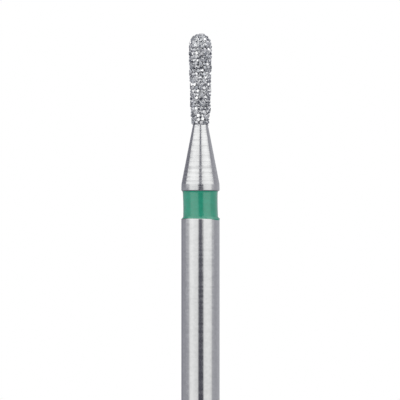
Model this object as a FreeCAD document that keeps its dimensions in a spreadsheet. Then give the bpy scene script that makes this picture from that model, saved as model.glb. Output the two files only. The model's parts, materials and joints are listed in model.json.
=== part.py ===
import FreeCAD, Part

import enum
import math
import os
import random

import Sketcher

# A friction-grip dental bur with a long pear head and coarse diamond grit, 19 mm long.
# It stands on the end of its shank: the origin is the centre of that end face, and +Z runs
# along the axis to the tip of the head. All lengths are in millimetres.
#
# The bur is a steel blank turned in one piece, a band of lacquer in a groove round the
# blank, nickel plated over the core of the head, and diamond grains held in that nickel.
# Of each grain, the solids hold the part that stands out of the nickel.

SIZES = [
    ("shank_diameter", 1.60, "friction-grip shank"),
    ("shank_length", 11.25, "shank from its end face to the band"),
    ("end_chamfer", 0.10, "chamfer on the end of the shank"),
    ("band_length", 1.15, "groove that holds the colour band"),
    ("band_depth", 0.16, "depth of that groove below the shank"),
    ("shoulder_break", 0.025, "broken edge of the shank beside the groove"),
    ("collar_length", 0.30, "collar of full diameter above the groove"),
    ("collar_rounding", 0.05, "rounded lower edge of the collar"),
    ("neck_length", 2.47, "cone from the collar to the head"),
    ("neck_top_diameter", 0.625, "thin end of that cone"),
    ("film_thickness", 0.080, "lacquer at the middle of the band"),
    ("film_rise", 0.014, "how much thicker the lacquer is where it meets the shoulders"),
    ("head_length", 3.83, "head, over the grains"),
    ("dome_height", 0.60, "from the widest section of the head up to its tip, over the grains"),
    ("core_base_diameter", 0.54, "steel core where it leaves the neck"),
    ("core_diameter", 0.68, "steel core at its widest"),
    ("nose_ease", 0.03, "how much smaller than the core's own radius its rounded tip is"),
    ("bond_thickness", 0.085, "nickel over the steel core"),
    ("bond_edge_thickness", 0.025, "the same at the edge of the nickel, beside the neck"),
    ("bond_edge_length", 0.55, "from that edge to where the nickel has its full thickness"),
    ("grain_size", 0.20, "largest diamond grain, from corner to corner"),
    ("grain_size_least", 0.12, "smallest diamond grain"),
    ("grain_exposure", 0.08, "how far the largest grain stands out of the nickel"),
    ("grain_spacing", 0.166, "from one grain to the next along a row"),
    ("bare_foot", 0.005, "nickel left bare between the neck and the first row of grains"),
]

# Radii of the shank, of the bottom of the groove for the band, and of the core beside the
# neck and round its tip
SHANK_RADIUS = "Sizes.shank_diameter / 2"
BAND_SEAT = f"{SHANK_RADIUS} - Sizes.band_depth"
CORE_BASE = "Sizes.core_base_diameter / 2"
CORE_NOSE = "Sizes.core_diameter / 2 - Sizes.nose_ease"

# Heights above the end of the shank
BAND_FOOT = "Sizes.shank_length"
COLLAR_FOOT = f"{BAND_FOOT} + Sizes.band_length"
NECK_FOOT = f"{COLLAR_FOOT} + Sizes.collar_length"
HEAD_FOOT = f"{NECK_FOOT} + Sizes.neck_length"
HEAD_TOP = f"{HEAD_FOOT} + Sizes.head_length"
HEAD_WIDEST = f"{HEAD_TOP} - Sizes.dome_height"
BOND_TOP = f"{HEAD_TOP} - Sizes.grain_exposure"
CORE_TOP = f"{BOND_TOP} - Sizes.bond_thickness"

GRAIN_SEED = 18
GRAIN_DRIFT = 0.14  # how far a grain strays from its place in its row, in spacings
ROW_PITCH = math.sqrt(3) / 2  # between rows of closely set grains, in spacings
TURNS_OF_A_FORM = 8  # ways in which each form of crystal stands in the nickel
TRIES_AT_A_SEAT = 4  # crystals tried at each seat, of which the one that fills it best stays

CLOSE = 1e-4  # how near two lengths are when they count as the same
OUTWARD = FreeCAD.Vector(0, 0, 1)  # out of the nickel, for a crystal that isn't placed yet


class Point(enum.IntEnum):
    """The points of a sketched edge."""

    START = 1
    END = 2
    CENTRE = 3


class Axis(enum.IntEnum):
    """The axes of a sketch: the radius runs along the first, the height along the second."""

    RADIUS = -1
    HEIGHT = -2


ORIGIN = (Axis.RADIUS, Point.START)

doc = FreeCAD.newDocument("diamond_bur")
sheet = doc.addObject("Spreadsheet::Sheet", "Sizes")


def fill_sheet():
    for row, (name, value, meaning) in enumerate(SIZES, start=1):
        sheet.set(f"A{row}", name)
        sheet.set(f"B{row}", str(value))
        sheet.setAlias(f"B{row}", name)
        sheet.set(f"C{row}", meaning)
    doc.recompute()


def value_of(expression):
    return float(sheet.evalExpression(expression))


def spot(corner):
    radius, height = corner
    return FreeCAD.Vector(value_of(radius), value_of(height), 0)


def half_section(body, name):
    """An empty sketch on the plane through the axis: x is the radius, y the height."""
    sketch = body.newObject("Sketcher::SketchObject", name)
    plane = next(o for o in body.Origin.OriginFeatures if o.Role == "XZ_Plane")
    sketch.AttachmentSupport = (plane, [""])
    sketch.MapMode = "FlatFace"
    return sketch


def bind(sketch, constraint, expression):
    index = sketch.addConstraint(constraint)
    sketch.setExpression(f"Constraints[{index}]", expression)


def hold(sketch, edge, end, corner):
    """Holds a point of an edge at the radius and the height that the sheet gives."""
    radius, height = corner
    for kind, axis, distance in (
        ("DistanceX", Axis.HEIGHT, radius),
        ("DistanceY", Axis.RADIUS, height),
    ):
        if distance == "0":
            sketch.addConstraint(Sketcher.Constraint("PointOnObject", edge, end, axis))
        else:
            away = Sketcher.Constraint(kind, *ORIGIN, edge, end, value_of(distance))
            bind(sketch, away, distance)


def join(sketch, edge, next_edge):
    meeting = Sketcher.Constraint("Coincident", edge, Point.END, next_edge, Point.START)
    sketch.addConstraint(meeting)


def add_lines(sketch, corners):
    """Straight edges through the corners, each held where it starts, and the last where it ends."""
    edges = []
    for start, end in zip(corners, corners[1:]):
        edge = sketch.addGeometry(Part.LineSegment(spot(start), spot(end)), False)
        if edges:
            join(sketch, edges[-1], edge)
        hold(sketch, edge, Point.START, start)
        edges.append(edge)
    hold(sketch, edges[-1], Point.END, corners[-1])
    return edges


def add_arc(sketch, centre, radius, first_angle, last_angle):
    circle = Part.Circle(FreeCAD.Vector(*centre, 0), FreeCAD.Vector(0, 0, 1), radius)
    return sketch.addGeometry(Part.ArcOfCircle(circle, first_angle, last_angle), False)


def add_dome(sketch, flank, widest, nose_radius, top):
    """Two tangent arcs that carry the outline from the end of the flank up to the axis."""
    half_width, shoulder = value_of(widest[0]), value_of(widest[1])
    nose, rise = value_of(nose_radius), value_of(top) - value_of(nose_radius) - shoulder
    side = (half_width**2 + rise**2 - nose**2) / (2 * (half_width - nose))
    turn = math.atan2(rise, side - half_width)
    side_arc = add_arc(sketch, (half_width - side, shoulder), side, 0, turn)
    nose_arc = add_arc(sketch, (0, shoulder + rise), nose, turn, math.pi / 2)
    join(sketch, flank, side_arc)
    level = Sketcher.Constraint("Horizontal", side_arc, Point.START, side_arc, Point.CENTRE)
    sketch.addConstraint(level)
    smooth = Sketcher.Constraint("Tangent", side_arc, Point.END, nose_arc, Point.START)
    sketch.addConstraint(smooth)
    on_axis = Sketcher.Constraint("PointOnObject", nose_arc, Point.CENTRE, Axis.HEIGHT)
    sketch.addConstraint(on_axis)
    bind(sketch, Sketcher.Constraint("Radius", nose_arc, nose), nose_radius)
    hold(sketch, nose_arc, Point.END, ("0", top))
    return nose_arc


def close_along_axis(sketch, last_edge, first_edge, top, foot):
    axis = sketch.addGeometry(Part.LineSegment(spot(("0", top)), spot(("0", foot))), False)
    join(sketch, last_edge, axis)
    join(sketch, axis, first_edge)


def turned(body, sketch, kind, name):
    """The sketch turned once round the axis, added to the body or cut from it."""
    feature = body.newObject(kind, name)
    feature.Profile = sketch
    feature.ReferenceAxis = (sketch, ["V_Axis"])
    feature.Angle = 360
    doc.recompute()
    return feature


def ring_edge(feature, radius, height):
    """The name of the feature's round edge with that radius at that height."""
    for number, edge in enumerate(feature.Shape.Edges, start=1):
        curve = edge.Curve
        if not isinstance(curve, Part.Circle):
            continue
        if abs(curve.Radius - radius) < CLOSE and abs(curve.Center.z - height) < CLOSE:
            return f"Edge{number}"
    raise RuntimeError(f"{feature.Name} has no round edge of radius {radius} at {height}")


def dress_edge(body, kind, name, base, height, property_name, expression):
    """A fillet or a chamfer on the base feature's edge of the shank's radius at that height."""
    edge = ring_edge(base, value_of(SHANK_RADIUS), value_of(height))
    dressing = body.newObject(kind, name)
    dressing.Base = (base, [edge])
    dressing.setExpression(property_name, expression)
    doc.recompute()
    return dressing


def band_groove(body, rod):
    """The groove for the lacquer, cut into the rod all round."""
    outline = half_section(body, "band_seat_outline")
    clear_of_shank = "Sizes.shank_diameter"
    corners = [
        (BAND_SEAT, BAND_FOOT),
        (clear_of_shank, BAND_FOOT),
        (clear_of_shank, COLLAR_FOOT),
        (BAND_SEAT, COLLAR_FOOT),
    ]
    edges = add_lines(outline, corners)
    back = outline.addGeometry(Part.LineSegment(spot(corners[-1]), spot(corners[0])), False)
    join(outline, edges[-1], back)
    join(outline, back, edges[0])
    whole = rod.Shape.Volume
    groove = turned(body, outline, "PartDesign::Groove", "band_seat")
    if groove.Shape.Volume >= whole:
        raise RuntimeError("the groove for the band cuts nothing")
    return groove


def steel_blank():
    """Shank, collar, neck and the core of the head, turned from one rod."""
    body = doc.addObject("PartDesign::Body", "steel_blank")
    outline = half_section(body, "blank_outline")
    widest = ("Sizes.core_diameter / 2", HEAD_WIDEST)
    corners = [
        ("0", "0"),
        (SHANK_RADIUS, "0"),
        (SHANK_RADIUS, NECK_FOOT),
        ("Sizes.neck_top_diameter / 2", HEAD_FOOT),
        (CORE_BASE, HEAD_FOOT),
        widest,
    ]
    edges = add_lines(outline, corners)
    nose = add_dome(outline, edges[-1], widest, CORE_NOSE, CORE_TOP)
    close_along_axis(outline, nose, edges[0], CORE_TOP, "0")
    rod = turned(body, outline, "PartDesign::Revolution", "turned_rod")
    base = band_groove(body, rod)
    for kind, name, height, property_name, expression in (
        ("PartDesign::Chamfer", "shank_end", "0", "Size", "Sizes.end_chamfer"),
        ("PartDesign::Chamfer", "shoulder_edge", BAND_FOOT, "Size", "Sizes.shoulder_break"),
        ("PartDesign::Fillet", "collar_edge", COLLAR_FOOT, "Radius", "Sizes.collar_rounding"),
    ):
        base = dress_edge(body, kind, name, base, height, property_name, expression)
    return body


def colour_band():
    """Lacquer that fills the groove between its shoulders, a little hollow along its length."""
    body = doc.addObject("PartDesign::Body", "colour_band")
    outline = half_section(body, "band_outline")
    rim = f"{BAND_SEAT} + Sizes.film_thickness + Sizes.film_rise"
    corners = [
        (rim, BAND_FOOT),
        (BAND_SEAT, BAND_FOOT),
        (BAND_SEAT, COLLAR_FOOT),
        (rim, COLLAR_FOOT),
    ]
    edges = add_lines(outline, corners)
    face_radius = "Sizes.band_length ^ 2 / (8 * Sizes.film_rise) + Sizes.film_rise / 2"
    radius, half_length = value_of(face_radius), value_of("Sizes.band_length / 2")
    centre = (
        value_of(rim) + radius - value_of("Sizes.film_rise"),
        value_of(BAND_FOOT) + half_length,
    )
    half_turn = math.asin(half_length / radius)
    face = add_arc(outline, centre, radius, math.pi - half_turn, math.pi + half_turn)
    join(outline, edges[-1], face)
    join(outline, face, edges[0])
    bind(outline, Sketcher.Constraint("Radius", face, radius), face_radius)
    turned(body, outline, "PartDesign::Revolution", "lacquer_film")
    return body


def plated_head():
    """The head to the outside of the nickel, solid to the axis."""
    body = doc.addObject("PartDesign::Body", "plated_head")
    outline = half_section(body, "nickel_outline")
    widest = ("Sizes.core_diameter / 2 + Sizes.bond_thickness", HEAD_WIDEST)
    corners = [
        ("0", HEAD_FOOT),
        (f"{CORE_BASE} + Sizes.bond_edge_thickness", HEAD_FOOT),
        (f"{CORE_BASE} + Sizes.bond_thickness", f"{HEAD_FOOT} + Sizes.bond_edge_length"),
        widest,
    ]
    edges = add_lines(outline, corners)
    nose_radius = f"{CORE_NOSE} + Sizes.bond_thickness"
    nose = add_dome(outline, edges[-1], widest, nose_radius, BOND_TOP)
    close_along_axis(outline, nose, edges[0], BOND_TOP, HEAD_FOOT)
    turned(body, outline, "PartDesign::Revolution", "head_form")
    return body


def nickel_bond(head, blank):
    """The plated nickel: the head's form less the steel inside it."""
    bond = doc.addObject("Part::Cut", "nickel_bond")
    bond.Base, bond.Tool = head, blank
    doc.recompute()
    return bond


def nickel_outline(head):
    """The outside of the nickel in half section, from the neck to the tip, as ordered edges."""
    outside = [
        edge
        for edge in head.Group[0].Shape.Edges
        if edge.BoundBox.XMax > CLOSE and edge.BoundBox.ZLength > CLOSE
    ]
    return Part.sortEdges(outside)[0]


def seat_at(edges, along):
    """The point of the outline that far from the neck, and the direction out of it there."""
    for edge in edges:
        if along <= edge.Length:
            break
        along -= edge.Length
    parameter = edge.getParameterByLength(min(along, edge.Length))
    tangent = edge.tangentAt(parameter)
    return edge.valueAt(parameter), FreeCAD.Vector(tangent.z, 0, -tangent.x)


def faceted_solid(corners, faces):
    outlines = [Part.makePolygon([corners[i] for i in face + face[:1]]) for face in faces]
    return Part.Solid(Part.Shell([Part.Face(outline) for outline in outlines]))


def octahedron(x, y, z):
    corners = [FreeCAD.Vector(*c) for c in ((x, 0, 0), (0, y, 0), (-x, 0, 0), (0, -y, 0))]
    corners += [FreeCAD.Vector(0, 0, z), FreeCAD.Vector(0, 0, -z)]
    upper = [[i, (i + 1) % 4, 4] for i in range(4)]
    lower = [[(i + 1) % 4, i, 5] for i in range(4)]
    return faceted_solid(corners, upper + lower)


def block(x, y, z):
    return Part.makeBox(x, y, z, FreeCAD.Vector(-x / 2, -y / 2, -z / 2))


def crystal_forms():
    """Whole and broken diamond crystals, each with its farthest corner at 1 from its centre."""
    forms = [
        octahedron(1, 0.95, 0.85),
        octahedron(0.9, 1, 1),
        block(2, 2, 1.1).common(octahedron(1, 1, 1)),
        block(1, 0.9, 0.8),
        block(0.9, 1, 0.95),
        block(1, 0.75, 0.9),
    ]
    return [form.scaled(1 / max(v.Point.Length for v in form.Vertexes)) for form in forms]


def any_turn(chance):
    axis = FreeCAD.Vector(chance.gauss(0, 1), chance.gauss(0, 1), chance.gauss(0, 1))
    return FreeCAD.Rotation(axis, chance.uniform(0, 360))


def standing_crystals():
    """Crystals of radius 1 turned every way and cut off level, where the nickel would hold them."""
    chance = random.Random(GRAIN_SEED)
    exposed = value_of("2 * Sizes.grain_exposure / Sizes.grain_size")
    above_nickel = Part.makeBox(2, 2, 2, FreeCAD.Vector(-1, -1, 0))
    crystals = []
    for form in crystal_forms() * TURNS_OF_A_FORM:
        form.Placement = FreeCAD.Placement(FreeCAD.Vector(), any_turn(chance))
        top = max(vertex.Point.z for vertex in form.Vertexes)
        form.translate(OUTWARD * (exposed - top))
        crystal = form.common(above_nickel).Solids[0]
        crystals.append((crystal, [vertex.Point for vertex in crystal.Vertexes]))
    return crystals


def grain_seats(edges):
    """Seat, outward direction and radius of each grain: rows round the head, a little uneven."""
    chance = random.Random(GRAIN_SEED + 1)
    spacing = value_of("Sizes.grain_spacing")
    largest, least = value_of("Sizes.grain_size / 2"), value_of("Sizes.grain_size_least / 2")
    first_level = value_of("Sizes.bare_foot") + largest
    run = sum(edge.Length for edge in edges) - first_level
    rows = round(run / (spacing * ROW_PITCH))
    seats = []
    for row in range(rows + 1):
        level = first_level + run * row / rows
        ring = 2 * math.pi * seat_at(edges, level)[0].x
        count = max(1, round(ring / spacing))
        first_turn = chance.uniform(0, 360)
        for number in range(count):
            drift = chance.uniform(-GRAIN_DRIFT, GRAIN_DRIFT) * spacing
            turn = first_turn + (number + chance.uniform(-GRAIN_DRIFT, GRAIN_DRIFT)) * 360 / count
            point, outward = seat_at(edges, max(first_level, level + drift))
            around = FreeCAD.Rotation(FreeCAD.Vector(0, 0, 1), turn)
            radius = chance.triangular(least, largest, largest)
            seats.append((around.multVec(point), around.multVec(outward), radius))
    return seats


def reach(corners, direction):
    """How far a grain's corners, taken from its seat, reach that way."""
    return max(corner.dot(direction) for corner in corners)


def fitting_radius(corners, seat, radius, neighbours):
    """The largest radius, up to the given one, at which a crystal clears its neighbours."""
    for other_seat, other_corners in neighbours:
        gap = other_seat - seat
        towards = gap * (1 / gap.Length)
        room = gap.Length - reach(other_corners, towards * -1)
        radius = min(radius, room / reach(corners, towards))
    return radius


def best_crystal(crystals, chance, seat, outward, radius, neighbours):
    """Of some crystals, each turned at random, the one that can be bulkiest at that seat."""
    fits = []
    for _ in range(TRIES_AT_A_SEAT):
        crystal, unit_corners = chance.choice(crystals)
        spin = FreeCAD.Rotation(OUTWARD, chance.uniform(0, 360))
        turn = FreeCAD.Rotation(OUTWARD, outward) * spin
        corners = [turn.multVec(corner) for corner in unit_corners]
        fits.append((fitting_radius(corners, seat, radius, neighbours), crystal, turn, corners))
    return max(fits, key=lambda fit: fit[0] ** 3 * fit[1].Volume)


def diamond_grains(head):
    """The diamond grains where they stand out of the nickel, each turned its own way."""
    chance = random.Random(GRAIN_SEED + 2)
    largest, least = value_of("Sizes.grain_size"), value_of("Sizes.grain_size_least / 2")
    crystals = standing_crystals()
    grains = []
    placed = []
    for seat, outward, radius in grain_seats(nickel_outline(head)):
        near = [other for other in placed if other[0].distanceToPoint(seat) < largest]
        fit = best_crystal(crystals, chance, seat, outward, radius, near)
        radius, crystal, turn, corners = fit
        if radius < least:
            continue
        placed.append((seat, [corner * radius for corner in corners]))
        grain = crystal.scaled(radius)
        grain.Placement = FreeCAD.Placement(seat, turn)
        grains.append(grain)
    group = doc.addObject("Part::Feature", "diamond_grains")
    group.Shape = Part.Compound(grains)
    return group


def export(pieces):
    broken = [o.Name for o in doc.Objects if {"Invalid", "Error"} & set(o.State)]
    if broken:
        raise RuntimeError(f"these objects failed: {broken}")
    for piece in pieces:
        piece.Label = piece.Name
        if piece.Shape.isNull() or not piece.Shape.isValid() or not piece.Shape.Solids:
            raise RuntimeError(f"{piece.Label} is not a valid solid")
    os.makedirs("parts", exist_ok=True)
    for piece in pieces:
        piece.Shape.exportStep(f"parts/{piece.Label}.step")
        solids = piece.Shape.Solids
        print(f"{piece.Label}: {len(solids)} solids, {sum(s.Volume for s in solids):.4f} mm3")


def main():
    fill_sheet()
    blank = steel_blank()
    band = colour_band()
    head = plated_head()
    bond = nickel_bond(head, blank)
    grains = diamond_grains(head)
    doc.recompute()
    export([blank, band, bond, grains])


main()
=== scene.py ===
import json
import math
import random

import bmesh
import bpy
import numpy as np
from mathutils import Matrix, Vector, noise

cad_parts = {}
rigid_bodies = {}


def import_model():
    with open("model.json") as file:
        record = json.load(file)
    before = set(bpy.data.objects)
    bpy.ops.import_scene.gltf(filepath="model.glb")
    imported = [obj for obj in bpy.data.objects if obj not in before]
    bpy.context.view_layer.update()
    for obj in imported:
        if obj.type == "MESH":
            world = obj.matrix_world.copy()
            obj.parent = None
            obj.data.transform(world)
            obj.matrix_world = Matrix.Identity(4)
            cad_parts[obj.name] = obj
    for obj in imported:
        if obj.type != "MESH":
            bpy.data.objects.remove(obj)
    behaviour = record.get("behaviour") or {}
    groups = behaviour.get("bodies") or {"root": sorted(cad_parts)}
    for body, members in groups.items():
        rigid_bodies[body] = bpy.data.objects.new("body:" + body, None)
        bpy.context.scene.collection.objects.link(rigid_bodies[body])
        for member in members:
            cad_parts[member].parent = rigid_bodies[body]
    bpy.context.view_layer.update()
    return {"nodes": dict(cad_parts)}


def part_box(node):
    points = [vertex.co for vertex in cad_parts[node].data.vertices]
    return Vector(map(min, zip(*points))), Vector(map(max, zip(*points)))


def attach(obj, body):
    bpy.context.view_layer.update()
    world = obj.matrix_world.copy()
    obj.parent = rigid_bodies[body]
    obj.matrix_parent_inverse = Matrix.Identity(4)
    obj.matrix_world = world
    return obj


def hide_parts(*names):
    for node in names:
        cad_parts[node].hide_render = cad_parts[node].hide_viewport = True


MM = 0.001

# The photograph's frame. It is square, and its pixels are measured on the bur itself.
FRAME_PIXELS = 400
MM_PER_PIXEL = 0.04183
AXIS_PIXEL = 200.43
TIP_PIXEL = 33.4
CAMERA_DISTANCE = 350 * MM
SENSOR_WIDTH = 36.0

# The steel blank, in millimetres where it isn't read from the frame
END_CHAMFER = 0.10
SHOULDER_BREAK = 0.025
BAND_DEPTH = 0.16
COLLAR_LENGTH = 0.30
COLLAR_ROUNDING = 0.05
COLLAR_TAPER = 0.006
COLLAR_TOP_ROUNDING = 0.03
NECK_TOP_RADIUS = 0.3125
CORE_BASE_RADIUS = 0.27
CORE_RADIUS = 0.34
NOSE_RADIUS = 0.31
BOND_THICKNESS = 0.085
BOND_EDGE_THICKNESS = 0.025
BOND_EDGE_LENGTH = 0.55
WIDEST_BELOW_BOND_TOP = 0.52
EDGE_ROUNDING = 0.008

# The turned neck, in millimetres: fine rings, and one ring deeper by a share of their height
TOOL_MARK_HEIGHT = 0.003
TOOL_MARK_PITCH = 0.07
RING_HEIGHT = 13.767
RING_WIDTH = 0.014
RING_DEPTH = 0.75

# The lacquer, in millimetres: its film, its climb at the collar, the bead at its foot, and where
# it has run over the shank's shoulder
FILM_THICKNESS = 0.080
FILM_RISE = 0.014
FILM_TILT = 0.010
FILM_WAVE = 0.0016
FILM_WAVES_ROUND = 2
FILM_WAVES_PER_MM = 2.2
COLLAR_CLIMB = 0.034
COLLAR_CLIMB_FADE = 0.022
BEAD = 0.030
BEAD_HEIGHT = 0.016
BEAD_WIDTH = 0.022
RUN_TURN = math.radians(-24)
RUN_ALL_ROUND = 0.25
RUN_NARROWNESS = 7
RUN_BULGE = 0.054
RUN_BULGE_HEIGHT = 0.018
RUN_BULGE_WIDTH = 0.032
RUN_DROP = 0.07
RUN_DROP_FADE = 0.03

# The nickel, in millimetres: its climb round the grains, from a share of their reach, and its
# knobbly surface
MENISCUS_HEIGHT = 0.024
MENISCUS_WIDTH = 0.014
MENISCUS_START = 0.85
MENISCUS_FARTHEST = 0.2
FULL_CLIMB_REACH = 0.075
NODULE_HEIGHT = 0.007
NODULE_PITCH = 0.07
# How much the knobs' tops add to the nickel's painted light, as a share
NODULE_PAINTED_LIGHT = 0.3
PLAIN_FOOT = 0.03

# The grains, in millimetres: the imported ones, and the small broken ones between them. The room
# that a grain keeps free and how far its centre stands out are shares of its reach.
GRAIN_FOOT = 0.004
GRAIN_ROOT = 0.02
GRAIN_WEAR = (0.002, 0.005)
GRAIN_ROOM = 0.8
SMALL_GRAIN_SIZES = (0.030, 0.056)
SMALL_GRAIN_ROOM = 0.75
SMALL_GRAIN_STAND = 0.4
SMALL_GRAIN_POINTS = 9
SMALL_GRAIN_WEAR = 0.0015
SMALL_GRAIN_TRIES = 12000
SEED = 7

# How finely the meshes are divided, below what radius a point is on the axis, and from what turn
# an edge is sharp, in degrees
STEPS_ROUND = 200
BOND_STEPS_ROUND = 240
COLLAR_STEPS = 10
NECK_STEPS = 300
CORE_DOME_STEPS = 8
FILM_STEPS = 110
BOND_FOOT_STEPS = 50
BOND_FLANK_STEPS = 250
BOND_DOME_STEPS = 34
ON_AXIS = 1e-9
SHARP_TURN = 32
SHARP_GRAIN_TURN = 24
SHARP_BOND_TURN = 60


def clear_scene():
    for leftover in list(bpy.data.objects):
        bpy.data.objects.remove(leftover)


clear_scene()
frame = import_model()

_, shank_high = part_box("steel_blank")
band_low, band_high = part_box("colour_band")
bond_low, bond_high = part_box("nickel_bond")
_, grains_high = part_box("diamond_grains")

SHANK_RADIUS = shank_high.x / MM
BAND_FOOT, BAND_TOP = band_low.z / MM, band_high.z / MM
NECK_FOOT = BAND_TOP + COLLAR_LENGTH
HEAD_FOOT, BOND_TOP = bond_low.z / MM, bond_high.z / MM
HEAD_WIDEST = BOND_TOP - WIDEST_BELOW_BOND_TOP
CORE_TOP = BOND_TOP - BOND_THICKNESS


# Outlines, as lists of radius and height in millimetres


def line_points(start, end, steps):
    """Points along a straight line, both its ends among them."""
    return [
        (start[0] + (end[0] - start[0]) * i / steps, start[1] + (end[1] - start[1]) * i / steps)
        for i in range(steps + 1)
    ]


def arc_points(centre, radius, first, last, steps):
    """Points along an arc from the first turn to the last, in degrees."""
    turns = [math.radians(first + (last - first) * i / steps) for i in range(steps + 1)]
    return [(centre[0] + radius * math.cos(t), centre[1] + radius * math.sin(t)) for t in turns]


def dome_points(half_width, foot, nose, top, steps):
    """Two tangent arcs from the widest section up to the axis."""
    rise = top - nose - foot
    side = (half_width**2 + rise**2 - nose**2) / (2 * (half_width - nose))
    turn = math.degrees(math.atan2(rise, side - half_width))
    lower = arc_points((half_width - side, foot), side, 0, turn, steps)
    upper = arc_points((0, foot + rise), nose, turn, 90, steps)
    return lower + upper[1:-1] + [(0, top)]


def eased(corner, before, after, radius=EDGE_ROUNDING, steps=3):
    """A corner of an outline worn round: a short curve from one side of it to the other."""
    corner, before, after = (Vector(p) for p in (corner, before, after))
    start = corner + (before - corner).normalized() * radius
    end = corner + (after - corner).normalized() * radius
    shares = [i / steps for i in range(steps + 1)]
    return [tuple(start * (1 - s) ** 2 + corner * 2 * s * (1 - s) + end * s**2) for s in shares]


def with_eased_corners(corners, rounded):
    """The outline through the corners, with those in rounded, by their index, worn round."""
    points = []
    for i, corner in enumerate(corners):
        if i in rounded:
            points += eased(corner, corners[i - 1], corners[i + 1])
        else:
            points.append(corner)
    return points


def bell(value, middle, width):
    """A smooth bump: 1 at the middle, and next to nothing two widths from it."""
    return math.exp(-(((value - middle) / width) ** 2))


def tool_mark(height):
    """How far the turned neck stands out or in at that height: rings, and finer ones over them."""
    place = height / TOOL_MARK_PITCH
    rings = noise.noise((place, 0.3, 0.7)) + 0.6 * noise.noise((place * 2.3, 5.1, 0.2))
    return TOOL_MARK_HEIGHT * (rings - RING_DEPTH * bell(height, RING_HEIGHT, RING_WIDTH))


def blank_outline():
    """The whole steel blank, from the middle of its end face up to the top of its core."""
    seat = SHANK_RADIUS - BAND_DEPTH
    shank = with_eased_corners(
        [
            (0, 0),
            (SHANK_RADIUS - END_CHAMFER, 0),
            (SHANK_RADIUS, END_CHAMFER),
            (SHANK_RADIUS, BAND_FOOT - SHOULDER_BREAK),
            (SHANK_RADIUS - SHOULDER_BREAK, BAND_FOOT),
            (seat, BAND_FOOT),
            (seat, BAND_TOP),
        ],
        {1, 2, 3, 4},
    )
    collar_centre = (SHANK_RADIUS - COLLAR_ROUNDING, BAND_TOP + COLLAR_ROUNDING)
    collar = arc_points(collar_centre, COLLAR_ROUNDING, -90, 0, COLLAR_STEPS)
    neck_foot = (SHANK_RADIUS - COLLAR_TAPER, NECK_FOOT)
    neck_top = (NECK_TOP_RADIUS, HEAD_FOOT)
    shoulder = eased(neck_foot, collar[-1], neck_top, COLLAR_TOP_ROUNDING, steps=6)
    cone = line_points(shoulder[-1], neck_top, NECK_STEPS)[1:]
    cone = [(radius + tool_mark(height), height) for radius, height in cone]
    return shank + collar + shoulder + cone + core_outline()


def core_outline():
    """The steel inside the head, from the neck up to the axis."""
    dome = dome_points(CORE_RADIUS, HEAD_WIDEST, NOSE_RADIUS, CORE_TOP, CORE_DOME_STEPS)
    return [(CORE_BASE_RADIUS, HEAD_FOOT)] + dome


def bond_outline():
    """The plain outside of the nickel, which is thin at its edge beside the neck."""
    edge = (CORE_BASE_RADIUS + BOND_EDGE_THICKNESS, HEAD_FOOT)
    full = (CORE_BASE_RADIUS + BOND_THICKNESS, HEAD_FOOT + BOND_EDGE_LENGTH)
    widest = (CORE_RADIUS + BOND_THICKNESS, HEAD_WIDEST)
    foot = line_points(edge, full, BOND_FOOT_STEPS)
    flank = line_points(full, widest, BOND_FLANK_STEPS)
    nose = NOSE_RADIUS + BOND_THICKNESS
    dome = dome_points(widest[0], widest[1], nose, BOND_TOP, BOND_DOME_STEPS)
    return foot + flank[1:] + dome[1:]


def outline_normals(outline):
    """The direction out of an outline at each of its points."""
    normals = []
    for i in range(len(outline)):
        before, after = outline[max(i - 1, 0)], outline[min(i + 1, len(outline) - 1)]
        along = Vector(after) - Vector(before)
        normals.append(Vector((along.y, -along.x)).normalized())
    return normals


# Meshes


def new_piece(name, mesh):
    piece = bpy.data.objects.new(name, mesh)
    bpy.context.scene.collection.objects.link(piece)
    return piece


def shade(mesh, sharp_turn):
    """Smooth shading, with an edge wherever the surface turns by more than that many degrees."""
    work = bmesh.new()
    work.from_mesh(mesh)
    bmesh.ops.recalc_face_normals(work, faces=work.faces)
    limit = math.radians(sharp_turn)
    for face in work.faces:
        face.smooth = True
    for edge in work.edges:
        edge.smooth = len(edge.link_faces) == 2 and edge.calc_face_angle() < limit
    work.to_mesh(mesh)
    work.free()
    mesh.update()


def turned_rows(verts, outline, steps_round, offset=None):
    """Adds the vertices of a turned outline, one row for each of its points, and gives the rows.

    offset(row, step) says how far out and up a vertex moves. A point on the axis is one vertex.
    """
    rows = []
    for row, (radius, height) in enumerate(outline):
        first = len(verts)
        if radius < ON_AXIS:
            verts.append((0, 0, height * MM))
            rows.append([first])
            continue
        for step in range(steps_round):
            turn = 2 * math.pi * step / steps_round
            out, up = offset(row, step) if offset else (0, 0)
            out, up = (radius + out) * MM, (height + up) * MM
            verts.append((out * math.cos(turn), out * math.sin(turn), up))
        rows.append(range(first, len(verts)))
    return rows


def faces_between(row_pairs, steps_round):
    """Quads from row to row, and triangles where a row is one point on the axis."""
    faces = []
    for low, high in row_pairs:
        if len(low) == len(high) == 1:
            continue
        for i in range(steps_round):
            j = (i + 1) % steps_round
            corners = [low[i % len(low)], low[j % len(low)], high[j % len(high)], high[i % len(high)]]
            faces.append(list(dict.fromkeys(corners)))
    return faces


def piece_from(name, verts, faces, sharp_turn):
    mesh = bpy.data.meshes.new(name)
    mesh.from_pydata(verts, [], faces)
    shade(mesh, sharp_turn)
    return new_piece(name, mesh)


def lathe(name, outline, offset=None):
    """A closed piece turned from an outline."""
    verts = []
    rows = turned_rows(verts, outline, STEPS_ROUND, offset)
    faces = faces_between(zip(rows, rows[1:] + rows[:1]), STEPS_ROUND)
    return piece_from(name, verts, faces, SHARP_TURN)


def finish_piece(piece, node, material):
    piece.data.materials.append(material)
    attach(piece, "root")
    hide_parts(node)
    return piece


# The four pieces


def steel_blank(material):
    return finish_piece(lathe("blank", blank_outline()), "steel_blank", material)


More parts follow.
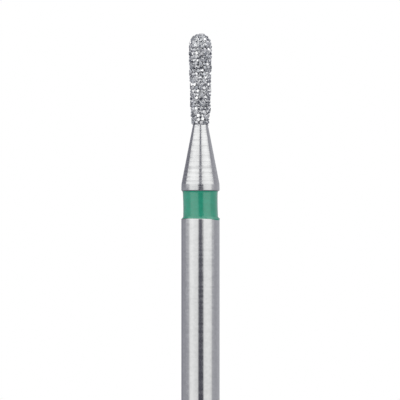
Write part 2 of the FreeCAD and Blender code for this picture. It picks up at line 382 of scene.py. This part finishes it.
def film_offset(height, turn):
    """Uneven lacquer: it leans a little, and has run over the shank's shoulder, most on one side."""
    middle = (BAND_FOOT + BAND_TOP) / 2
    along = (height - middle) / (BAND_TOP - BAND_FOOT)
    tilt = -2 * FILM_TILT * along * math.cos(turn)
    around = (FILM_WAVES_ROUND * math.cos(turn), FILM_WAVES_ROUND * math.sin(turn))
    wave = FILM_WAVE * noise.noise((*around, height * FILM_WAVES_PER_MM))
    facing = (0.5 + 0.5 * math.cos(turn - RUN_TURN)) ** RUN_NARROWNESS
    run = RUN_ALL_ROUND + (1 - RUN_ALL_ROUND) * facing
    above = height - BAND_FOOT
    bulge = RUN_BULGE * run * bell(above, RUN_BULGE_HEIGHT, RUN_BULGE_WIDTH)
    return tilt + wave + bulge, -RUN_DROP * run * math.exp(-above / RUN_DROP_FADE)


def colour_band(material):
    """The lacquer: its face is hollow along its length, and its back is the groove's floor."""
    seat = SHANK_RADIUS - BAND_DEPTH
    length = BAND_TOP - BAND_FOOT
    outline = [(seat, BAND_FOOT)]
    for i in range(FILM_STEPS + 1):
        share = 0.5 - 0.5 * math.cos(math.pi * i / FILM_STEPS)
        from_end = min(share, 1 - share) * length
        hollow = FILM_RISE * (2 * share - 1) ** 2
        climb = COLLAR_CLIMB * math.exp(-from_end / COLLAR_CLIMB_FADE)
        if share < 0.5:
            climb = BEAD * bell(from_end, BEAD_HEIGHT, BEAD_WIDTH)
        outline.append((seat + FILM_THICKNESS + hollow + climb, BAND_FOOT + share * length))
    outline.append((seat, BAND_TOP))

    def offset(row, step):
        radius, height = outline[row]
        if radius == seat:
            return 0, 0
        return film_offset(height, 2 * math.pi * step / STEPS_ROUND)

    return finish_piece(lathe("band", outline, offset), "colour_band", material)


def read_grains():
    """The corners and faces of each packed diamond grain."""
    work = bmesh.new()
    work.from_mesh(frame["nodes"]["diamond_grains"].data)
    bmesh.ops.remove_doubles(work, verts=work.verts, dist=1e-7)
    flat = math.radians(1)
    bmesh.ops.dissolve_limit(work, angle_limit=flat, verts=work.verts, edges=work.edges)
    work.verts.ensure_lookup_table()
    seen, grains = set(), []
    for vert in work.verts:
        if vert.index in seen:
            continue
        group, waiting = [], [vert]
        seen.add(vert.index)
        while waiting:
            current = waiting.pop()
            group.append(current)
            for edge in current.link_edges:
                other = edge.other_vert(current)
                if other.index not in seen:
                    seen.add(other.index)
                    waiting.append(other)
        place = {v.index: i for i, v in enumerate(group)}
        faces = dict.fromkeys(f for v in group for f in v.link_faces)
        corners = [v.co.copy() for v in group]
        grains.append((corners, [[place[v.index] for v in f.verts] for f in faces]))
    work.free()
    return grains


def outward_at(point):
    """The direction out of the nickel at a point near it."""
    radial = Vector((point.x, point.y, 0))
    if point.z < HEAD_WIDEST * MM:
        return radial.normalized()
    squash = (CORE_RADIUS + BOND_THICKNESS) / WIDEST_BELOW_BOND_TOP
    return Vector((radial.x, radial.y, (point.z - HEAD_WIDEST * MM) * squash**2)).normalized()


def packed_seats(packed):
    """Centre and reach along the nickel of each packed grain, in millimetres."""
    seats = []
    for corners, _ in packed:
        centre = sum(corners, Vector()) / len(corners)
        outward = outward_at(centre)
        reach = max(((c - centre) - outward * (c - centre).dot(outward)).length for c in corners)
        seats.append((*(centre / MM), reach / MM))
    return seats


def scatter_small_grains(packed):
    """Seat, outward direction and radius, in millimetres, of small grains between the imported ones."""
    chance = random.Random(SEED + 1)
    outline = bond_outline()
    normals = outline_normals(outline)
    areas = [low[0] * math.dist(low, high) for low, high in zip(outline, outline[1:])]
    rows = chance.choices(range(len(areas)), areas, k=SMALL_GRAIN_TRIES)
    places = [seat[:3] for seat in packed]
    reaches = [seat[3] for seat in packed]
    small = []
    for row in rows:
        turn = chance.uniform(0, 2 * math.pi)
        radius = chance.uniform(*SMALL_GRAIN_SIZES)
        around = Vector((math.cos(turn), math.sin(turn), 0))
        place = around * outline[row][0] + Vector((0, 0, outline[row][1]))
        away = np.linalg.norm(np.array(places) - np.array(place), axis=1)
        if np.min(away - GRAIN_ROOM * np.array(reaches)) < SMALL_GRAIN_ROOM * radius:
            continue
        places.append(tuple(place))
        reaches.append(radius)
        outward = around * normals[row].x + Vector((0, 0, normals[row].y))
        small.append((place, outward, radius))
    return small


def worn_grain(work, width):
    """The corners and faces of a grain once its edges are worn."""
    bmesh.ops.recalc_face_normals(work, faces=work.faces)
    wear = {"offset": width * MM, "segments": 1, "affect": "EDGES", "clamp_overlap": True}
    bmesh.ops.bevel(work, geom=list(work.edges), **wear)
    work.verts.index_update()
    corners = [vert.co.copy() for vert in work.verts]
    faces = [[vert.index for vert in face.verts] for face in work.faces]
    work.free()
    return corners, faces


def packed_crystal(corners, faces, chance):
    """One packed grain, with a root that reaches into the nickel."""
    work = bmesh.new()
    verts = [work.verts.new(c) for c in corners]
    for face in faces:
        work.faces.new([verts[i] for i in face])
    centre = sum(corners, Vector()) / len(corners)
    outward = outward_at(centre)
    lowest = min((c - centre).dot(outward) for c in corners)
    for vert in verts:
        if (vert.co - centre).dot(outward) < lowest + GRAIN_FOOT * MM:
            vert.co -= outward * GRAIN_ROOT * MM
    return worn_grain(work, chance.uniform(*GRAIN_WEAR))


def small_shard(seat, outward, radius, chance):
    """One small broken grain: the hull of points strewn round its centre."""
    work = bmesh.new()
    centre = (seat + outward * SMALL_GRAIN_STAND * radius) * MM
    for _ in range(SMALL_GRAIN_POINTS):
        aside = Vector((chance.gauss(0, 1), chance.gauss(0, 1), chance.gauss(0, 1))).normalized()
        work.verts.new(centre + aside * radius * MM)
    bmesh.ops.convex_hull(work, input=work.verts)
    return worn_grain(work, SMALL_GRAIN_WEAR)


def diamond_grains(packed, small, material):
    """All the grains in one piece, each a crystal of its own."""
    chance = random.Random(SEED)
    grains = [packed_crystal(corners, faces, chance) for corners, faces in packed]
    grains += [small_shard(seat, outward, radius, chance) for seat, outward, radius in small]
    verts, faces = [], []
    for corners, outlines in grains:
        faces += [[i + len(verts) for i in outline] for outline in outlines]
        verts += corners
    piece = piece_from("grains", verts, faces, SHARP_GRAIN_TURN)
    return finish_piece(piece, "diamond_grains", material)


def nickel_bond(seats, material):
    """The nickel: its outside climbs the grains and is knobbly between them, its inside is plain."""
    outline, core = bond_outline(), core_outline()
    turns = np.arange(BOND_STEPS_ROUND) * 2 * np.pi / BOND_STEPS_ROUND
    radii = np.array([p[0] for p in outline[:-1]])
    heights = np.array([p[1] for p in outline[:-1]])
    across, along = radii[:, None] * np.cos(turns), radii[:, None] * np.sin(turns)
    levels = np.repeat(heights[:, None], BOND_STEPS_ROUND, 1)
    points = np.stack([across, along, levels], -1).reshape(-1, 3)
    climb, closeness = climb_round(seats, points)
    nodules = np.array([nodule_at(Vector(p) / NODULE_PITCH) for p in points])
    at_foot = np.clip((points[:, 2] - HEAD_FOOT) / PLAIN_FOOT, 0, 1)
    rise = at_foot * (MENISCUS_HEIGHT * climb + NODULE_HEIGHT * nodules)
    rises = rise.reshape(len(radii), BOND_STEPS_ROUND)
    normals = outline_normals(outline)

    def offset(row, step):
        return normals[row][0] * rises[row][step], normals[row][1] * rises[row][step]

    verts = []
    rows = turned_rows(verts, outline, BOND_STEPS_ROUND, offset)
    core_rows = turned_rows(verts, core, BOND_STEPS_ROUND)
    pairs = [*zip(rows, rows[1:]), *zip(core_rows, core_rows[1:]), (core_rows[0], rows[0])]
    faces = faces_between(pairs, BOND_STEPS_ROUND)
    piece = piece_from("bond", verts, faces, SHARP_BOND_TURN)
    # Painted light and shade for the nickel's colour: 0 in the hollows between the grains, up to 1 on
    # their menisci and the knobs' tops, and 1 elsewhere.
    painted_light_level = np.ones(len(verts))
    painted_light_level[: len(points)] = np.clip(closeness + NODULE_PAINTED_LIGHT * nodules, 0, 1)
    piece.data.attributes.new("painted_light_level", "FLOAT", "POINT").data.foreach_set("value", painted_light_level)
    return finish_piece(piece, "nickel_bond", material)


def climb_round(seats, points):
    """How far, as a share, the nickel climbs at each point, and how near each is to a grain."""
    climb, closeness = np.zeros(len(points)), np.zeros(len(points))
    for x, y, z, reach in seats:
        near = np.abs(points[:, 2] - z) < MENISCUS_FARTHEST
        away = np.linalg.norm(points[near] - (x, y, z), axis=1)
        gap = np.maximum(away - reach * MENISCUS_START, 0)
        nearby = np.exp(-((gap / MENISCUS_WIDTH) ** 2))
        closeness[near] = np.maximum(closeness[near], nearby)
        full = min(1, (reach / FULL_CLIMB_REACH) ** 2)
        climb[near] = np.maximum(climb[near], full * nearby)
    return climb, closeness


def nodule_at(place):
    return noise.fractal(place, 0.8, 2.2, 3, noise_basis="PERLIN_ORIGINAL")


# Materials


class Surface:
    """A new material with short calls for its nodes."""

    def __init__(self, name):
        self.material = bpy.data.materials.new(name)
        self.material.use_nodes = True
        self.tree = self.material.node_tree
        self.shader = self.tree.nodes["Principled BSDF"]

    def node(self, kind, values=None, **settings):
        made = self.tree.nodes.new(kind)
        for key, value in settings.items():
            setattr(made, key, value)
        for key, value in (values or {}).items():
            made.inputs[key].default_value = value
        return made

    def link(self, source, target):
        self.tree.links.new(source, target)

    def place(self, scale):
        """Where a point is on the piece, in millimetres, times a scale along each axis."""
        where = self.node("ShaderNodeTexCoord").outputs["Object"]
        mapping = self.node("ShaderNodeMapping")
        mapping.inputs["Scale"].default_value = [s / MM for s in scale]
        self.link(where, mapping.inputs["Vector"])
        return mapping.outputs["Vector"]

    def noise(self, scale, detail, roughness=0.5):
        """Noise from 0 to 1, with that many features a millimetre along each axis."""
        values = {"Scale": 1.0, "Detail": detail, "Roughness": roughness}
        texture = self.node("ShaderNodeTexNoise", values)
        self.link(self.place(scale), texture.inputs["Vector"])
        return texture.outputs["Fac"]

    def spread(self, value, low, high):
        """A value from 0 to 1 carried to the range from low to high."""
        ranged = self.node("ShaderNodeMapRange", {"To Min": low, "To Max": high})
        self.link(value, ranged.inputs["Value"])
        return ranged.outputs["Result"]

    def ramp(self, value, stops):
        """The colour that the stops give for a value."""
        ramp = self.node("ShaderNodeValToRGB")
        elements = ramp.color_ramp.elements
        for index, (place, colour) in enumerate(stops):
            element = elements[index] if index < 2 else elements.new(place)
            element.position = place
            element.color = (*colour, 1)
        self.link(value, ramp.inputs["Fac"])
        return ramp.outputs["Color"]

    def bump(self, value, height):
        """A surface that stands out by the value, up to that many millimetres."""
        bump = self.node("ShaderNodeBump", {"Distance": height * MM, "Strength": 1.0})
        self.link(value, bump.inputs["Height"])
        return bump.outputs["Normal"]

    def set(self, **values):
        """Plain values of the shader, by the names of its sockets."""
        for key, value in values.items():
            self.shader.inputs[key.replace("_", " ")].default_value = value

    def feed(self, **sources):
        """What the shader's sockets are linked to, by their names."""
        for key, source in sources.items():
            self.link(source, self.shader.inputs[key.replace("_", " ")])


def steel_material():
    """Steel, ground round and round on the shank and turned on the collar and neck."""
    steel = Surface("ground_steel")
    steel.set(Metallic=1.0, Anisotropic=0.88, Anisotropic_Rotation=0.25)
    tangent = steel.node("ShaderNodeTangent", direction_type="RADIAL", axis="Z")
    tone = steel.noise((5.0, 5.0, 7.0), detail=4.0, roughness=0.6)
    colour = steel.ramp(tone, [(0.3, (0.595, 0.60, 0.60)), (0.7, (0.675, 0.68, 0.68))])
    lay = steel.noise((0.4, 0.4, 9.0), detail=5.0, roughness=0.75)
    ground = steel.spread(lay, -0.07, 0.34)
    turned = steel.spread(lay, -0.4, 0.86)
    height = steel.node("ShaderNodeSeparateXYZ")
    steel.link(steel.place((1, 1, 1)), height.inputs[0])
    at_collar = {"From Min": BAND_TOP - COLLAR_ROUNDING, "From Max": BAND_TOP + COLLAR_ROUNDING}
    roughness = steel.node("ShaderNodeMapRange", at_collar)
    steel.link(height.outputs["Z"], roughness.inputs["Value"])
    steel.link(ground, roughness.inputs["To Min"])
    steel.link(turned, roughness.inputs["To Max"])
    scratches = steel.noise((2.0, 2.0, 240), detail=2.0, roughness=0.7)
    steel.feed(
        Tangent=tangent.outputs["Tangent"],
        Base_Color=colour,
        Roughness=roughness.outputs["Result"],
        Normal=steel.bump(scratches, 0.00025),
    )
    return steel.material


def lacquer_material():
    """Green lacquer with a clear gloss, in slow waves where it has flowed."""
    lacquer = Surface("green_lacquer")
    lacquer.set(Roughness=0.32, Specular_IOR_Level=0.25)
    lacquer.set(Coat_Weight=1.0, Coat_Roughness=0.17, Coat_IOR=1.78)
    tone = lacquer.noise((2.4, 2.4, 5.0), detail=4.0)
    colour = lacquer.ramp(tone, [(0.32, (0.002, 0.285, 0.168)), (0.68, (0.004, 0.335, 0.205))])
    flow = lacquer.noise((1.4, 1.4, 9.0), detail=2.0)
    lacquer.feed(Base_Color=colour, Coat_Normal=lacquer.bump(flow, 0.0025))
    return lacquer.material


def nickel_material():
    """Dull plating, with shade painted in: nearly black in the hollows between the grains, pale where
    it climbs them and on its knobs.
    """
    nickel = Surface("plated_nickel")
    nickel.set(Metallic=1.0)
    painted_light_level = nickel.node("ShaderNodeAttribute", attribute_name="painted_light_level").outputs["Fac"]
    # Painted shade: the dark stop is shade painted into the hollows, the pale one the plating where it
    # is lit.
    colour = nickel.ramp(painted_light_level, [(0.14, (0.035, 0.04, 0.05)), (0.9, (0.76, 0.77, 0.78))])
    roughness = nickel.spread(nickel.noise((22, 22, 22), detail=3.0), 0.18, 0.5)
    grit = nickel.noise((60, 60, 60), detail=3.0)
    nickel.feed(Base_Color=colour, Roughness=roughness, Normal=nickel.bump(grit, 0.002))
    return nickel.material


def diamond_material():
    """Grit whose grains differ, each by itself, from nearly black to bright."""
    diamond = Surface("diamond_grit")
    diamond.set(Metallic=0.8, IOR=2.42)
    grain = diamond.node("ShaderNodeNewGeometry").outputs["Random Per Island"]
    colour = diamond.ramp(
        grain,
        [
            (0.0, (0.13, 0.14, 0.16)),
            (0.24, (0.17, 0.18, 0.21)),
            (0.44, (0.47, 0.49, 0.52)),
            (0.58, (0.82, 0.83, 0.85)),
            (0.7, (1.0, 1.0, 1.0)),
            (1.0, (1.0, 1.0, 1.0)),
        ],
    )
    roughness = diamond.spread(diamond.noise((30, 30, 30), detail=2.0), 0.05, 0.22)
    facets = diamond.noise((45, 45, 45), detail=3.0, roughness=0.6)
    diamond.feed(Base_Color=colour, Roughness=roughness, Normal=diamond.bump(facets, 0.003))
    return diamond.material


# The studio

# What glossy surfaces see at the bur's own height, by the compass: turns from the camera's side
# in degrees, anticlockwise from above, and how bright it is there. Pale panels stand either side
# of a dark slit behind the camera, and the room is grey behind the bur.
LEVEL = [
    (-180, 0.33), (-139, 0.33), (-124, 0.43), (-102, 0.42), (-90, 0.44), (-80, 0.46), (-74, 0.58),
    (-65, 1.10), (-50, 1.17), (-26, 0.99), (-17.5, 0.98), (-9.5, 0.1), (15.5, 0.1), (20.3, 0.92),
    (26, 1.07), (50, 1.11), (66, 1.01), (71, 0.84), (77, 0.50), (90, 0.48), (112, 0.47),
    (141, 0.53), (180, 0.33),
]
# The same for what is higher up
UPPER = [
    (-180, 0.20), (-113, 0.20), (-106, 0.22), (-98, 1.28), (-72, 1.38), (-40, 1.35), (-11, 1.25),
    (-6.5, 0.27), (7, 0.27), (12, 1.24), (40, 1.40), (66, 1.40), (87, 1.26), (97, 0.36),
    (106, 0.38), (124, 0.48), (150, 0.44), (180, 0.20),
]
BRIGHTEST = 1.4
CEILING = 1.33
GROUND = 0.22
# Where one of these gives way to the next: how steeply a direction points up, from -1 for straight
# down through 0 for level to 1 for straight up
LEVEL_TO_UPPER = (0.05, 0.22)
UPPER_TO_CEILING = (0.62, 0.9)
LEVEL_TO_GROUND = (-0.12, -0.5)
# What dull surfaces see instead, and what the camera sees
SOFT_LIGHT = (0.86, 0.87, 0.88, 1)
WHITE = (1, 1, 1, 1)
LAMP_PLACE = (-150, -140, 230)
LAMP_AIM = (0, 0, 10)
LAMP_WIDTH = 160 * MM
LAMP_POWER = 0.055
FLOOR_RADIUS = 60 * MM
FLOOR_GLOW = 0.3


def grey(value):
    """A grey of that brightness as a share of the brightest, bluer the darker it is."""
    blue = 1 + 0.3 * max(0, 1 - value) ** 2
    return (value / BRIGHTEST, value / BRIGHTEST, value * blue / BRIGHTEST, 1)


class Sky:
    """The world's node tree, with short calls for its nodes."""

    def __init__(self):
        world = bpy.data.worlds.new("studio")
        bpy.context.scene.world = world
        world.use_nodes = True
        world.cycles.sampling_method = "NONE"
        self.tree = world.node_tree
        self.background = self.tree.nodes["Background"]

    def math(self, operation, *values):
        """The result of an operation on numbers or on other nodes' outputs."""
        node = self.tree.nodes.new("ShaderNodeMath")
        node.operation = operation
        for socket, value in zip(node.inputs, values):
            if isinstance(value, (int, float)):
                socket.default_value = value
            else:
                self.tree.links.new(value, socket)
        return node.outputs[0]

    def compass(self, turn, stops):
        """The brightness round the compass that the stops give."""
        ramp = self.tree.nodes.new("ShaderNodeValToRGB")
        elements = ramp.color_ramp.elements
        for index, (degrees, value) in enumerate(stops):
            place = (degrees + 180) / 360
            element = elements[index] if index < 2 else elements.new(place)
            element.position = place
            element.color = grey(value)
        self.tree.links.new(turn, ramp.inputs["Fac"])
        return ramp.outputs["Color"]

    def mix(self, share, first, second):
        """The first colour where the share is 0, and the second where it is 1."""
        node = self.tree.nodes.new("ShaderNodeMix")
        node.data_type = "RGBA"
        sockets = [node.inputs[index] for index in (0, 6, 7)]
        for socket, value in zip(sockets, (share, first, second)):
            if isinstance(value, tuple):
                socket.default_value = value
            else:
                self.tree.links.new(value, socket)
        return node.outputs[2]

    def between(self, value, low, high):
        """A share that rises smoothly from 0 to 1 as the value goes from low to high."""
        node = self.tree.nodes.new("ShaderNodeMapRange")
        node.interpolation_type = "SMOOTHSTEP"
        node.inputs["From Min"].default_value = low
        node.inputs["From Max"].default_value = high
        self.tree.links.new(value, node.inputs["Value"])
        return node.outputs["Result"]


def make_world():
    """The room that glossy surfaces mirror. Dull ones get plain soft light, and the camera white."""
    sky = Sky()
    nodes, links = sky.tree.nodes, sky.tree.links
    direction = nodes.new("ShaderNodeTexCoord").outputs["Generated"]
    apart = nodes.new("ShaderNodeSeparateXYZ")
    links.new(direction, apart.inputs[0])
    x, y, z = apart.outputs
    turn = sky.math("ARCTAN2", x, sky.math("MULTIPLY", y, -1.0))
    place = sky.math("ADD", sky.math("DIVIDE", turn, 2 * math.pi), 0.5)
    level = sky.compass(place, LEVEL)
    upper = sky.compass(place, UPPER)
    walls = sky.mix(sky.between(z, *LEVEL_TO_UPPER), level, upper)
    room = sky.mix(sky.between(z, *UPPER_TO_CEILING), walls, grey(CEILING))
    room = sky.mix(sky.between(z, *LEVEL_TO_GROUND), room, grey(GROUND))
    scale = nodes.new("ShaderNodeVectorMath")
    scale.operation = "SCALE"
    scale.inputs["Scale"].default_value = BRIGHTEST
    links.new(room, scale.inputs[0])
    rays = nodes.new("ShaderNodeLightPath")
    shiny = sky.math("MAXIMUM", rays.outputs["Is Glossy Ray"], rays.outputs["Is Transmission Ray"])
    soft_or_shiny = sky.mix(shiny, SOFT_LIGHT, scale.outputs[0])
    everything = sky.mix(rays.outputs["Is Camera Ray"], soft_or_shiny, WHITE)
    links.new(everything, sky.background.inputs["Color"])


def make_lamp():
    """A soft lamp, up to the left in front, which throws the bur's shadow on the floor."""
    light = bpy.data.lights.new("key", "AREA")
    light.shape = "DISK"
    light.size = LAMP_WIDTH
    light.energy = LAMP_POWER
    lamp = bpy.data.objects.new("key", light)
    lamp.location = Vector(LAMP_PLACE) * MM
    ahead = Vector(LAMP_AIM) * MM - lamp.location
    lamp.rotation_euler = ahead.to_track_quat("-Z", "Y").to_euler()
    lamp.visible_glossy = False
    bpy.context.scene.collection.objects.link(lamp)


def make_floor():
    """A pale round floor that reaches white to the camera and keeps the bur's shadow."""
    mesh = bpy.data.meshes.new("floor")
    work = bmesh.new()
    bmesh.ops.create_circle(work, cap_ends=True, segments=96, radius=FLOOR_RADIUS)
    work.to_mesh(mesh)
    work.free()
    floor = new_piece("floor", mesh)
    surface = Surface("pale_floor")
    surface.set(Roughness=0.7, Base_Color=(0.80, 0.80, 0.80, 1), Emission_Color=WHITE)
    rays = surface.node("ShaderNodeLightPath")
    glow = surface.node("ShaderNodeMath", operation="MULTIPLY")
    glow.inputs[1].default_value = FLOOR_GLOW
    surface.link(rays.outputs["Is Camera Ray"], glow.inputs[0])
    surface.feed(Emission_Strength=glow.outputs[0])
    mesh.materials.append(surface.material)
    floor.visible_glossy = False


def make_camera():
    """The photograph's view: level, from the front, with the tip and the axis at their pixels."""
    width = FRAME_PIXELS * MM_PER_PIXEL * MM
    tip = grains_high.z / MM
    middle = tip - (FRAME_PIXELS / 2 - TIP_PIXEL) * MM_PER_PIXEL
    aside = (FRAME_PIXELS / 2 - AXIS_PIXEL) * MM_PER_PIXEL
    data = bpy.data.cameras.new("camera")
    data.sensor_width = SENSOR_WIDTH
    data.lens = SENSOR_WIDTH * CAMERA_DISTANCE / width
    data.clip_start, data.clip_end = 1 * MM, 10
    camera = bpy.data.objects.new("camera", data)
    camera.location = (aside * MM, -CAMERA_DISTANCE, middle * MM)
    camera.rotation_euler = (math.pi / 2, 0, 0)
    bpy.context.scene.collection.objects.link(camera)
    bpy.context.scene.camera = camera


make_camera()
make_world()
make_lamp()
make_floor()

packed_grains = read_grains()
grain_seats = packed_seats(packed_grains)
small_grains = scatter_small_grains(grain_seats)
grain_seats += [(*seat, radius) for seat, _, radius in small_grains]

steel_blank(steel_material())
colour_band(lacquer_material())
nickel_bond(grain_seats, nickel_material())
diamond_grains(packed_grains, small_grains, diamond_material())

bpy.context.scene.view_settings.view_transform = "Standard"
